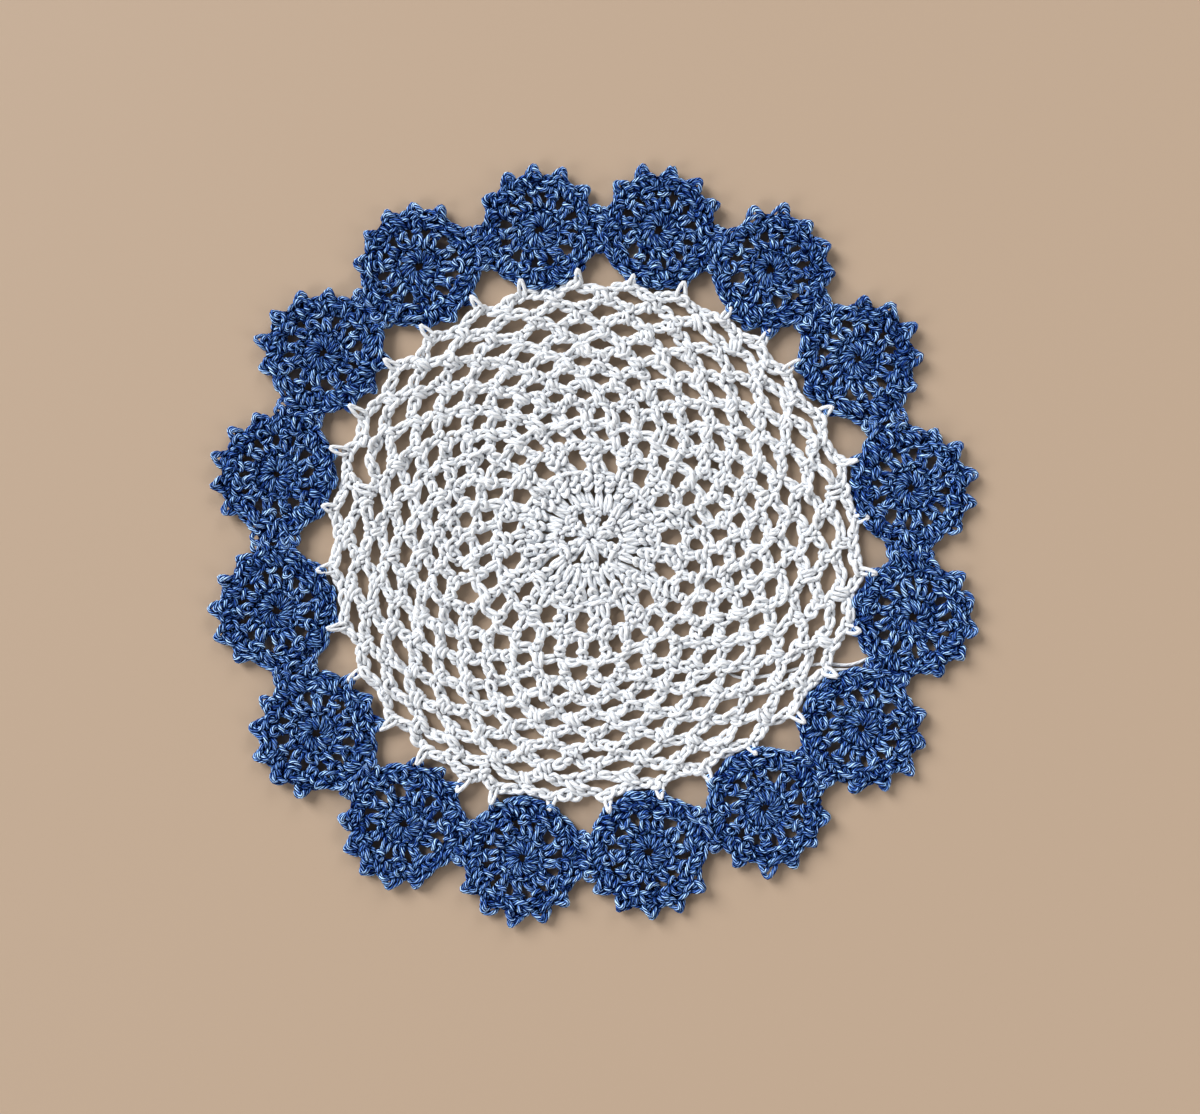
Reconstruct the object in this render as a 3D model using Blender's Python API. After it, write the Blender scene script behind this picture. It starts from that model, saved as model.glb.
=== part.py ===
"""A crocheted lace doily, lying flat on its underside.

A white cotton net is worked outward from a tight hub: two closed rounds, then
one long spiral of chain loops, whose last turn ends in small pointed loops,
picots. Sixteen blue flower motifs, crocheted one by one, ring the net. Each is
joined to two picots of the net and to two picots of the motif on either side.
Every piece is one solid of its own.

Sizes are in millimetres and bearings in degrees, counterclockwise from +X.
The origin is the middle of the hub, on the underside, and +Z is up.
"""

import math
import random

import bmesh
import bpy
from mathutils import Vector

MM = 0.001
OBJECT_NAME = "lace_doily"
FULL_TURN = 360.0

NET_THICKNESS = 2.2
PIECE_GAP = 0.3

# The closed rounds of gaps at the hub.
HUB_ROUNDS = (
    # radius, number of gaps, bearing of the first, gap width, gap height, form
    (8.5, 6, -3.0, 3.4, 2.4, "wedge"),
    (24.4, 15, 2.3, 4.7, 6.1, "wedge"),
    (32.1, 30, -2.3, 4.0, 4.8, "window"),
)

# The spiral of loops winds clockwise from its start out to the seam at the rim.
# A loop's posts stand in the middles of the loops one turn before, so a turn
# holds half a loop less than thirty.
SPIRAL_START = 203.0
SEAM = 161.0
WHOLE_TURNS = 8
LOOP_PITCH = FULL_TURN / 29.5
FIRST_LOOP = 18.6
SPIRAL_RADIUS = 37.75
SPIRAL_LEVEL_TURNS = 0.29
RIM_LOOP_RADIUS = 73.8
SEAM_EASE = 7.0
GAP_HEIGHTS = (3.2, 3.8, 3.3, 3.1, 3.5, 4.3, 3.5, 4.4)
EVEN_SPACING = 4.9
GAP_WIDTH_SHARE = 0.68
GAP_WIDTH_LESS = 1.7

# Gap outlines in shares of the gap's width and height, counterclockwise.
GAP_FORMS = {
    "wedge": ((-0.50, 0.46), (-0.12, -0.50), (0.12, -0.50), (0.50, 0.50)),
    "window": (
        (-0.34, -0.50), (0.34, -0.46), (0.48, 0.20),
        (0.40, 0.50), (-0.44, 0.46), (-0.48, 0.10),
    ),
    "mesh": (
        (-0.13, -0.50), (0.13, -0.50), (0.50, 0.05),
        (0.37, 0.50), (-0.38, 0.48), (-0.50, 0.02),
    ),
    "loop": (
        (-0.50, -0.40), (0.50, -0.40), (0.32, 0.14),
        (0.09, 0.50), (-0.09, 0.50), (-0.32, 0.14),
    ),
}
GAP_UNEVENNESS = 0.07
NET_SEED = 4

# A hand-made net isn't quite round. Each table holds waves round the net, as
# number of waves, size and lag in degrees: shares of the radius near the hub,
# millimetres at the rim, and degrees of bearing along the spiral.
HUB_WAVES = ((1, 0.028, -173.0), (3, 0.008, 9.5))
RIM_WAVES = ((1, 0.84, -79.7), (2, 0.92, 29.3), (3, 1.14, -35.7), (4, 0.92, -99.8))
BEARING_WAVES = ((1, 1.23, 113.0), (3, 0.85, 72.0))

# The rim, measured outward from the last turn's gaps.
RIM_VALLEY = 2.8
PICOT_FOOT = 3.9
PICOT_FOOT_WIDTH = 3.2
PICOT_SHORTEST = 1.6
NET_TIP_WIDTH = 1.6

# The motifs: bearing and distance of the middle, turn of the free picots, and
# the bearings of the two picots of the net that the motif is joined to.
MOTIFS = (
    # bearing, distance, turn, first picot, second picot
    (8.9, 96.1, 5.0, 4.4, 16.6),
    (34.1, 95.7, -5.0, 28.7, 40.8),
    (56.5, 96.4, -6.0, 49.1, 59.1),
    (77.8, 94.6, -1.0, 70.0, 81.3),
    (99.7, 93.8, -5.0, 93.2, 105.8),
    (122.5, 96.4, -1.0, 116.2, 128.6),
    (145.4, 97.6, -6.0, 139.1, 151.5),
    (168.5, 95.8, -5.0, 160.7, 173.1),
    (192.8, 96.1, -15.0, 186.3, 199.2),
    (215.2, 99.9, -13.0, 210.1, 222.2),
    (236.7, 100.9, -8.0, 231.7, 242.3),
    (257.7, 96.7, 3.0, 248.9, 261.3),
    (280.3, 93.9, -9.0, 273.6, 285.4),
    (302.8, 94.7, -6.0, 295.9, 307.4),
    (324.9, 97.5, -7.0, 319.2, 330.4),
    (346.2, 98.2, 2.0, 340.7, 353.0),
)
# A joined picot reaches in as far as the motif allows, between these distances
# from the last turn's gaps.
JOIN_REACH = 17.7
JOIN_NEAREST = 5.6
JOIN_FARTHEST = 7.2

# One motif's rings, from the dimple in its middle outward, and its picots.
MOTIF_RINGS = (
    # radius, height
    (1.7, 1.0),
    (2.3, 2.7),
    (7.8, 3.1),
    (11.5, 2.2),
    (14.2, 3.1),
)
VALLEY_RADIUS = 17.0
VALLEY_HEIGHT = 2.6
VALLEY_SHARES = (0.34, 0.66)
VALLEY_STEP = 0.1
TIP_RADIUS = 19.9
TIP_HEIGHT = 2.0
TIP_WIDTH = 1.7
FREE_PICOT_PITCH = 27.0
FREE_PICOTS = (-2, -1, 0, 1, 2)
REACH_UNEVENNESS = 0.35
MOTIF_SEED = 100
# Where neighbouring motifs meet: places of the two joined picots along the line
# between them, outward positive, and the depth of the notch between the two.
MOTIF_JOINS = (4.7, -5.2)
JOIN_TIP_WIDTH = 2.6
JOIN_NOTCH = 0.9
NET_CLEARANCE = 0.7
# Counterclockwise, a motif's tips are two at the motif after it, three facing the
# net, two at the motif before it and the free ones. These two places, counted
# from 0, are the first of each pair that meets a neighbour.
NEIGHBOUR_PAIRS = (0, 5)

WHITE_COTTON = (0.84, 0.86, 0.88, 1.0)
BLUE_COTTON = (0.10, 0.20, 0.46, 1.0)
COTTON_ROUGHNESS = 0.9


def waves(table, bearing):
    """The sum of a table's waves at a bearing."""
    return sum(size * math.cos(math.radians(count * bearing - lag)) for count, size, lag in table)


def polar(bearing, radius):
    angle = math.radians(bearing)
    return Vector((radius * math.cos(angle), radius * math.sin(angle)))


def bearing_of(vector):
    return math.degrees(math.atan2(vector.y, vector.x)) % FULL_TURN


def across(vector):
    """The vector turned a quarter counterclockwise."""
    return Vector((-vector.y, vector.x))


def hub_radius(bearing, radius):
    """A radius near the hub, with the drift that it has at this bearing."""
    return radius * (1.0 + waves(HUB_WAVES, bearing))


def rim_radius(bearing):
    """The middle of the last turn's gaps."""
    return RIM_LOOP_RADIUS + waves(RIM_WAVES, bearing)


def turns_at_rim(bearing):
    """How many turns of the spiral lie inside the rim, eased where the seam adds one."""
    first_part = (SPIRAL_START - SEAM) / FULL_TURN
    fewest = WHOLE_TURNS - 1 + first_part
    past_seam = (bearing - SEAM + FULL_TURN / 2) % FULL_TURN - FULL_TURN / 2
    if abs(past_seam) < SEAM_EASE:
        return fewest + 0.5 + 0.5 * past_seam / SEAM_EASE
    return fewest + ((SEAM - bearing) % FULL_TURN) / FULL_TURN


def turn_spacing(bearing):
    """The step outward from one turn of the spiral to the next."""
    width = rim_radius(bearing) - hub_radius(bearing, SPIRAL_RADIUS)
    return width / (turns_at_rim(bearing) - SPIRAL_LEVEL_TURNS)


def spiral_radius(bearing, turns):
    """The radius of the spiral's gaps after so many turns."""
    rising = max(turns - SPIRAL_LEVEL_TURNS, 0.0)
    return hub_radius(bearing, SPIRAL_RADIUS) + rising * turn_spacing(bearing)


def gap_outline(bearing, radius, width, height, form, uneven):
    """One gap of the net, bent round the hub and a little irregular."""
    width *= 1.0 + uneven.uniform(-GAP_UNEVENNESS, GAP_UNEVENNESS)
    height *= 1.0 + uneven.uniform(-GAP_UNEVENNESS, GAP_UNEVENNESS)
    lean = uneven.uniform(-GAP_UNEVENNESS, GAP_UNEVENNESS)
    points = []
    for along, out in GAP_FORMS[form]:
        sideways = (along + lean * out) * width
        points.append(polar(bearing + math.degrees(sideways / radius), radius + out * height))
    return points


def gap_width(pitch, radius):
    """The width of a gap whose loop takes up a pitch in degrees."""
    return GAP_WIDTH_SHARE * math.radians(pitch) * radius - GAP_WIDTH_LESS


def hub_gaps(uneven):
    for radius, count, first, width, height, form in HUB_ROUNDS:
        for step in range(count):
            bearing = first + step * FULL_TURN / count
            yield gap_outline(bearing, hub_radius(bearing, radius), width, height, form, uneven)


def spiral_gaps(uneven):
    """The gaps of all the turns but the last."""
    end = (WHOLE_TURNS - 1) * FULL_TURN + SPIRAL_START - SEAM
    wound = FIRST_LOOP
    while wound < end:
        bearing = SPIRAL_START - wound
        bearing += waves(BEARING_WAVES, bearing)
        turns = wound / FULL_TURN
        radius = spiral_radius(bearing, turns)
        height = GAP_HEIGHTS[int(turns)] * turn_spacing(bearing) / EVEN_SPACING
        yield gap_outline(bearing, radius, gap_width(LOOP_PITCH, radius), height, "mesh", uneven)
        wound += LOOP_PITCH


def picot_bearings():
    return [picot for motif in MOTIFS for picot in motif[3:]]


def rim_gaps(uneven):
    """The gaps of the last turn, one inside each picot."""
    picots = picot_bearings()
    for number, picot in enumerate(picots):
        before = (picot - picots[number - 1]) % FULL_TURN
        after = (picots[(number + 1) % len(picots)] - picot) % FULL_TURN
        bearing = picot + (after - before) / 4
        radius = rim_radius(bearing)
        width = gap_width((before + after) / 2, radius)
        yield gap_outline(bearing, radius, width, GAP_HEIGHTS[-1], "loop", uneven)


def motif_centre(motif):
    return polar(motif[0], motif[1])


def net_join(motif, picot):
    """Where a motif meets a picot of the net, and the way from the net to the motif."""
    centre = motif_centre(motif)
    off = math.radians(picot - motif[0])
    sideways = centre.length * math.sin(off)
    inward = math.sqrt(max(JOIN_REACH**2 - sideways**2, 0.0))
    reach = centre.length * math.cos(off) - inward
    rim = rim_radius(picot)
    place = polar(picot, min(max(reach, rim + JOIN_NEAREST), rim + JOIN_FARTHEST))
    way = (centre - place).normalized() + place.normalized()
    return place, way.normalized()


def blunt_tip(place, way, width):
    """A picot's two tip points, counterclockwise for one that points this way."""
    side = across(way) * width / 2
    return [place - side, place + side]


def rim_between(first, second):
    """The rim halfway between two picots."""
    middle = first + ((second - first) % FULL_TURN) / 2
    return polar(middle, rim_radius(middle) + RIM_VALLEY)


def net_outline():
    """The net's rim: each picot's foot and tip, then the chain up to the next."""
    picots = picot_bearings()
    points = []
    for number, picot in enumerate(picots):
        place, way = net_join(MOTIFS[number // 2], picot)
        foot = min(rim_radius(picot) + PICOT_FOOT, place.length - PICOT_SHORTEST)
        spread = math.degrees(PICOT_FOOT_WIDTH / 2 / foot)
        points.append(polar(picot - spread, foot))
        points += blunt_tip(place - way * PIECE_GAP / 2, way, NET_TIP_WIDTH)
        points.append(polar(picot + spread, foot))
        points.append(rim_between(picot, picots[(number + 1) % len(picots)]))
    return points


def neighbour_tips(number, neighbour):
    """The two tips of a motif that meet one of its neighbours, outer one first."""
    centre = motif_centre(MOTIFS[number])
    span = motif_centre(MOTIFS[neighbour % len(MOTIFS)]) - centre
    way = span.normalized()
    outward = across(way)
    if outward.dot(centre) < 0:
        outward = -outward
    faces = [centre + span / 2 + outward * place - way * PIECE_GAP / 2 for place in MOTIF_JOINS]
    return [blunt_tip(face, way, JOIN_TIP_WIDTH) for face in faces]


def motif_tips(number):
    """A motif's twelve picot tips in order, starting at the first past its free ones."""
    motif = MOTIFS[number]
    centre = motif_centre(motif)
    uneven = random.Random(MOTIF_SEED + number)
    after = neighbour_tips(number, number + 1)
    before = neighbour_tips(number, number - 1)
    net_tips = []
    for picot in motif[3:]:
        place, way = net_join(motif, picot)
        net_tips.append(blunt_tip(place + way * PIECE_GAP / 2, -way, NET_TIP_WIDTH))
    facing = rim_between(*motif[3:]) - centre
    way = facing.normalized()
    reach = min(facing.length - NET_CLEARANCE, TIP_RADIUS)
    inner_tip = blunt_tip(centre + way * reach, way, TIP_WIDTH)
    free_tips = []
    for step in FREE_PICOTS:
        way = polar(motif[0] + motif[2] + step * FREE_PICOT_PITCH, 1.0)
        reach = TIP_RADIUS + uneven.uniform(-REACH_UNEVENNESS, REACH_UNEVENNESS)
        free_tips.append(blunt_tip(centre + way * reach, way, TIP_WIDTH))
    return after + [net_tips[1], inner_tip, net_tips[0]] + before[::-1] + free_tips


def valley_point(centre, bearing, radius):
    """A point between two picots, drawn in where it would come too near the net."""
    way = polar(bearing, 1.0)
    point = centre + way * radius
    while point.length < rim_radius(bearing_of(point)) + PICOT_FOOT + NET_CLEARANCE:
        radius -= VALLEY_STEP
        point = centre + way * radius
    return point


def motif_outline(number):
    """The motif's outline and, for each point, the height of its top."""
    centre = motif_centre(MOTIFS[number])
    tips = motif_tips(number)
    points = []
    heights = []
    for place, tip in enumerate(tips):
        following = tips[(place + 1) % len(tips)]
        start = bearing_of(tip[1] - centre)
        gap = (bearing_of(following[0] - centre) - start) % FULL_TURN
        radius = VALLEY_RADIUS
        if place in NEIGHBOUR_PAIRS:
            radius = min((tip[1] - centre).length, (following[0] - centre).length) - JOIN_NOTCH
        points += tip
        points += [valley_point(centre, start + share * gap, radius) for share in VALLEY_SHARES]
        heights += [TIP_HEIGHT] * len(tip) + [VALLEY_HEIGHT] * len(VALLEY_SHARES)
    return points, heights


def add_loop(bm, points, heights):
    return [bm.verts.new((p.x * MM, p.y * MM, z * MM)) for p, z in zip(points, heights)]


def bridge(bm, inner, outer):
    """Triangles between two closed loops that may have unlike numbers of points."""
    i = j = 0
    while i < len(inner) or j < len(outer):
        a = inner[i % len(inner)]
        b = outer[j % len(outer)]
        if j == len(outer) or (i < len(inner) and (i + 1) * len(outer) <= (j + 1) * len(inner)):
            i += 1
            bm.faces.new((a, b, inner[i % len(inner)]))
        else:
            j += 1
            bm.faces.new((a, b, outer[j % len(outer)]))


def motif_mesh(number):
    """A motif: rings of stitches round a dimple, out to twelve picots, over a flat underside."""
    centre = motif_centre(MOTIFS[number])
    outline, heights = motif_outline(number)
    bearings = [bearing_of((tip[0] + tip[1]) / 2 - centre) for tip in motif_tips(number)]
    bm = bmesh.new()
    loops = []
    for radius, height in MOTIF_RINGS:
        ring = [centre + polar(bearing, radius) for bearing in bearings]
        loops.append(add_loop(bm, ring, [height] * len(ring)))
    loops.append(add_loop(bm, outline, heights))
    loops.append(add_loop(bm, outline, [0.0] * len(outline)))
    bm.faces.new(loops[0])
    for inner, outer in zip(loops, loops[1:]):
        bridge(bm, inner, outer)
    bm.faces.new(loops[-1])
    bmesh.ops.recalc_face_normals(bm, faces=bm.faces)
    mesh = bpy.data.meshes.new(f"motif_{number + 1:02d}")
    bm.to_mesh(mesh)
    bm.free()
    return mesh


def net_curve():
    """The net: a filled flat outline with its gaps left open, given its thickness."""
    uneven = random.Random(NET_SEED)
    outlines = [net_outline()]
    outlines += hub_gaps(uneven)
    outlines += spiral_gaps(uneven)
    outlines += rim_gaps(uneven)
    curve = bpy.data.curves.new("net_centre", "CURVE")
    curve.dimensions = "2D"
    curve.fill_mode = "BOTH"
    curve.extrude = NET_THICKNESS / 2 * MM
    for outline in outlines:
        spline = curve.splines.new("POLY")
        spline.points.add(len(outline) - 1)
        for point, place in zip(spline.points, outline):
            point.co = (place.x * MM, place.y * MM, 0.0, 1.0)
        spline.use_cyclic_u = True
    return curve


def cotton(name, colour):
    material = bpy.data.materials.new(name)
    material.use_nodes = True
    shader = material.node_tree.nodes["Principled BSDF"]
    shader.inputs["Base Color"].default_value = colour
    shader.inputs["Roughness"].default_value = COTTON_ROUGHNESS
    shader.inputs["Metallic"].default_value = 0.0
    return material


def add_piece(name, data, colour, collection):
    piece = bpy.data.objects.new(name, data)
    piece.data.materials.append(cotton(name, colour))
    collection.objects.link(piece)
    return piece


def clear_scene():
    for old in list(bpy.data.objects):
        bpy.data.objects.remove(old, do_unlink=True)


def main():
    clear_scene()
    collection = bpy.data.collections.new(OBJECT_NAME)
    bpy.context.scene.collection.children.link(collection)
    net = add_piece("net_centre", net_curve(), WHITE_COTTON, collection)
    net.location.z = NET_THICKNESS / 2 * MM
    for number in range(len(MOTIFS)):
        add_piece(f"motif_{number + 1:02d}", motif_mesh(number), BLUE_COTTON, collection)


main()
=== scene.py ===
"""The looks of a crocheted lace doily: every stitch of its yarn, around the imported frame.

The white net and the sixteen blue flower motifs are made as they are crocheted.
Each is a strand of yarn, led through its stitches one after another, and swept
into a round thread. The frame's solids stay for collision and are hidden.

Sizes are in millimetres and bearings in degrees, counterclockwise from +X.
A place in the plane is a numpy pair, and a row of stitches runs clockwise, so
that outward is on its left.
"""

import math
import random
from collections import namedtuple

import bpy
import numpy as np
from mathutils.kdtree import KDTree
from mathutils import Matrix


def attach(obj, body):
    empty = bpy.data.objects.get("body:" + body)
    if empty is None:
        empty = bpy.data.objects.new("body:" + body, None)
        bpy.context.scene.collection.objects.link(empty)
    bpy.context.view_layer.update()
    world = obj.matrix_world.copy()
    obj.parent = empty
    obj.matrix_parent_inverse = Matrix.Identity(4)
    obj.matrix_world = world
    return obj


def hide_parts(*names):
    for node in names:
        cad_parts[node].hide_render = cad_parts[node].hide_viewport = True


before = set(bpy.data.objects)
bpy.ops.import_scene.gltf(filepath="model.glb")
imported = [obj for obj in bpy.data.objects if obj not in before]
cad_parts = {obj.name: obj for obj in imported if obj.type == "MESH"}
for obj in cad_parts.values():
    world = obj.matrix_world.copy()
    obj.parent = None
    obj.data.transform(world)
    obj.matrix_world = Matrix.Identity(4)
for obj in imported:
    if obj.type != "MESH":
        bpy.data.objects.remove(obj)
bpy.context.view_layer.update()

MM = 0.001
FULL_TURN = 360.0

# -------- the layout

# Waves are (how many round the middle, size, lag in degrees). A RING is the radius of a
# round's chain, and a CHAIN is the pitch of its stitches and half their width. A FLARE is
# how wide a stitch comes out at its top and at its base.

# The hub's closed rounds. A SPREAD is degrees from the middle of a petal or group to its
# stitches, and in a fan from one stitch to the next.
HUB_WAVES = ((1, 0.0352, -138.2), (2, 0.0121, 134.1), (3, 0.0152, 0.5), (4, 0.0078, -142.7))
HUB_BEARING_WAVES = ((1, 1.6, 103.0),)
PETALS = 6
PETAL_BEARING = 27.0
PETAL_SPREAD = 9.0
PETAL_BASE = 1.5
PETAL_RING = 8.6
PETAL_SPACE_RING = 10.3
PETAL_CHAIN = (2.8, 0.7)
FAN_STITCHES = 5
FAN_BASE_SPREAD = 10.6
FAN_SPREAD = 12.0
FAN_FLARE = (1.2, 0.75)
FAN_RING = 19.7
FAN_CHAIN = (4.0, 0.95)
GROUPS = 15
GROUP_BEARING = 14.3
GROUP_BASE_SPREAD = 4.4
GROUP_SPREAD = 3.1
GROUP_FLARE = (1.4, 1.35)
GROUP_RING = 28.5
GROUP_ARCH = 0.7
GROUP_CHAIN = (2.8, 0.82)
WINDOWS = 30
WINDOW_POST_BEARING = 3.7
WINDOW_RING = 35.5
WINDOW_ARCH = 1.1
WINDOW_CHAIN = (3.6, 0.82)

# The spiral of loops winds clockwise from its start out to the seam at the rim. It keeps
# level at first. Its radii are those of the gaps' middles, in the first turn and the last.
SPIRAL_START = 203.0
SEAM = 161.0
SEAM_EASE = 7.0
WHOLE_TURNS = 8
TURNS_TO_SEAM = WHOLE_TURNS - 1 + (SPIRAL_START - SEAM) / FULL_TURN
LOOP_PITCH = FULL_TURN / 29.5
LOOPS_BACK = 30
FIRST_LOOP = 18.1
SPIRAL_RADIUS = 37.75
START_WAVES = ((1, 1.06, -173.0), (3, 0.30, 9.5))
LEVEL_TURNS = 0.29
RIM_LOOP_RADIUS = 73.8
RIM_WAVES = ((1, 0.84, -79.7), (2, 0.92, 29.3), (3, 1.14, -35.7), (4, 0.92, -99.8))
BEARING_WAVES = ((1, 1.23, -66.7), (2, 0.24, -154.9), (3, 0.93, -104.3), (4, 0.32, -160.7))
ARCH = 1.4
ARCH_SHAPE = 1.5
ARCH_STEPS = 12
RING_STEPS = 180
KNOT_LENGTH = 1.4
FEWEST_CHAINS = 3
RIM_VALLEY = 1.3
RIM_PEAK = 3.7

# The motifs: bearing and distance of the middle, turn of the free picots, and the
# bearings of the two picots of the net that the motif is joined to.
Motif = namedtuple("Motif", "bearing distance turn picots")
MOTIF_ROWS = (
    (8.9, 96.1, 5, (4.4, 16.6)),
    (34.1, 95.7, -5, (28.7, 40.8)),
    (56.5, 96.4, -6, (49.1, 59.1)),
    (77.8, 94.6, -1, (70.0, 81.3)),
    (99.7, 93.8, -5, (93.2, 105.8)),
    (122.5, 96.4, -1, (116.2, 128.6)),
    (145.4, 97.6, -6, (139.1, 151.5)),
    (168.5, 95.8, -5, (160.7, 173.1)),
    (192.8, 96.1, -15, (186.3, 199.2)),
    (215.2, 99.9, -13, (210.1, 222.2)),
    (236.7, 100.9, -8, (231.7, 242.3)),
    (257.7, 96.7, 3, (248.9, 261.3)),
    (280.3, 93.9, -9, (273.6, 285.4)),
    (302.8, 94.7, -6, (295.9, 307.4)),
    (324.9, 97.5, -7, (319.2, 330.4)),
    (346.2, 98.2, 2, (340.7, 353.0)),
)
MOTIFS = [Motif(*row) for row in MOTIF_ROWS]
# Where a motif meets the net: so far from its middle, and so far past the rim's gaps.
JOIN_REACH = 17.7
JOIN_NEAREST = 5.6
JOIN_FARTHEST = 7.2
NET_TIP_PAST = 1.1
MOTIF_TIP_PAST = 1.5
# Where it meets a neighbour: two places, outward from midway between the two middles.
MOTIF_JOINS = (4.3, -4.6)
JOIN_OVERLAP = 1.2
# A motif's rounds: 12 pairs of bars, 12 columns, and the edge. Each edge stitch stands so
# many degrees off midway between two picots, and its base at a share of that.
MOTIF_BASE = 2.0
CORE_FLARE = (1.25, 0.7)
COLUMN_FLARE = (1.65, 1.35)
MOTIF_INNER_RING = 6.7
MOTIF_OUTER_RING = 13.5
MOTIF_EDGE_RING = 16.2
CORE_CHAIN = (1.9, 0.8)
COLUMN_CHAIN = (3.7, 0.9)
EDGE_CHAIN = (3.2, 0.72)
MOTIF_EDGE_STITCHES = (6.0, -6.0)
EDGE_BASE_SHARE = 0.8
MOTIF_SCALLOP = 1.4
UNEVENNESS_KEPT = 0.35
# The edge and columns are drawn out towards each neighbour, by a share of half the way
# there past DRAWN_FROM, and less and less up to so many degrees off.
DRAWN_FROM = 17.2
DRAWN_WIDTH = 50.0
DRAWN_EDGE = 0.75
DRAWN_COLUMNS = 0.4
MOTIF_TIP = 19.9
INNER_TIP_SPACE = 4.0
FREE_PICOT_PITCH = 27.0
FREE_PICOTS = (-2, -1, 0, 1, 2)
REACH_UNEVENNESS = 0.35
# Clockwise from the first free picot: those that meet the neighbours', and those after
# which the edge dips in.
JOINED = (5, 6, 10, 11)
SCALLOPED = (-1, 0, 1, 2, 3, 4)

# Where the threads of a loose end of white yarn run, under the net.
TAILS = (
    (
        (36.1, -48.6), (42.7, -46.9), (51.6, -45.8), (58.8, -43.5),
        (65.2, -41.2), (70.1, -38.5), (77.1, -39.2), (84.6, -38.0),
    ),
    (
        (39.8, -39.6), (44.0, -41.6), (48.7, -41.0), (54.1, -40.5), (60.3, -38.8),
        (65.4, -37.6), (70.1, -37.0), (74.9, -37.7), (79.1, -37.1), (85.0, -34.0),
    ),
)

# -------- the yarn

# The threads' radii, the levels of their middles, and how far they stray.
WHITE_RADIUS = 0.75
BLUE_RADIUS = 0.70
CORE_RADIUS = 0.56
TAIL_RADIUS = 0.5
NET_PICOT_RADIUS = 0.62
NET_LEVEL = 1.9
MOTIF_LEVEL = 2.0
TAIL_LEVEL = 0.6
NET_WANDER = 0.32
HUB_WANDER = 0.30
MOTIF_CORE_WANDER = 0.12
MOTIF_WANDER = 0.38
TAIL_WANDER = 0.2
WANDER_KEPT = 0.7
# Seeds of the unevenness. Tails, motifs and their picots add their number to theirs.
HUB_SEED = 11
SPIRAL_SEED = 12
RIM_SEED = 13
TAIL_SEED = 14
MOTIF_SEED = 200
PICOT_SEED = 100
# Chain stitches. The spiral's are wide in its first turns and narrower in its last.
CHAIN_HALF_WIDTH = 0.92
SPIRAL_HALF_WIDTHS = (1.06, 0.86)
CHAIN_PITCH = 2.8
KNOT_WIDTH = 1.2
LOOP_LEAN = 0.25
LOOP_TILT = 0.4
LOOP_WIDTHS = (0.8, 1.2)
# Posts: how much they twist and lean, and how unevenly, how wide they come out, and how
# far past its base the yarn goes round what it holds.
POST_TWIST = (0.1, 0.2)
POST_LEAN = (0.8, 0.5)
TOP_WIDTHS = (0.9, 1.15)
BASE_WIDTHS = (0.85, 1.1)
LONG_POST = 3.9
NET_FLARE = (1.05, 1.0)
PLAIN_FLARE = (1.0, 1.0)
WRAP_SPACE = 1.3
WRAP_STITCH = 0.1
PETAL_WRAP = 0.5
CORE_WRAP = 0.6
EDGE_WRAP = 1.0
NET_PICOT_DEPTH = 0.4

# The line through a strand's points: samples between two, how far it is drawn back out
# to them, and the length or turn in degrees that takes a segment of its own.
SAMPLES = 5
DRAWN_TO_POINTS = 0.85
SEGMENT = 2.2
SEGMENT_TURN = 57.0
# The settling: how near threads may come, as a share of their radii, and how far each
# round of it moves and smooths them.
SQUASH = 0.80
SETTLING_ROUNDS = 4
OWN_SEGMENTS = 3
PUSH = 0.35
LONGEST_PUSH = 0.3
SMOOTHING = 0.15
FLOOR_CLEARANCE = 1.05
# The threads' surface, and the crevices beside it, which are darkened as painted shade.
SIDES = 6
SLUBS = 0.09
END_TAPER = 0.4
CREVICE_WIDTH = 0.6
OWN_RINGS = 2
# The map for baking: how full its rows are, and in rows, where the caps go in its corner.
ROW_FILL = 0.92
CAP_RADIUS = 0.3
CAP_FROM_CORNER = (0.6, 0.5)
# The net's outer piece has this many rings, and its inner piece the rest.
OUTER_RINGS = 16200

# -------- the yarn's ways through stitches

# A chain stitch's loop: along the row in pitches, across it in half-widths, and up.
CHAIN_LOOP = (
    (0, 0, -0.25),
    (0.22, 1, 0.5),
    (0.95, 1, 0.45),
    (1.42, 0, -0.05),
    (1.02, -1, 0.4),
    (0.25, -1, 0.5),
    (-0.02, -0.1, -0.45),
    (0.5, 0.1, -0.85),
)
# A single crochet's post, from the row down to what it holds and back: along,
# share of the way down, how far past its base in wraps, and up.
SINGLE = (
    (-0.1, 0.15, 0, -0.85),
    (-0.4, 0.8, 0, -1.1),
    (-1.15, 1, 0.9, -0.35),
    (-1.35, 1, 0.5, 0.65),
    (-1.25, 0.62, 0, 0.95),
    (-1.3, 0.25, 0, 0.35),
    (-0.75, 0.02, 0, -0.2),
    (-0.15, 0.15, 0, 0.3),
    (0, 0.5, 0, 1.15),
    (0.05, 0.95, 0.3, 0.9),
    (0.25, 1, 1, -0.1),
    (0.75, 1, 0.8, -0.6),
    (1.25, 1, 0.5, 0.3),
    (1.3, 0.75, 0, 0.95),
    (1.2, 0.4, 0, 0.7),
    (1.3, 0.1, 0, -0.1),
)
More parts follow.
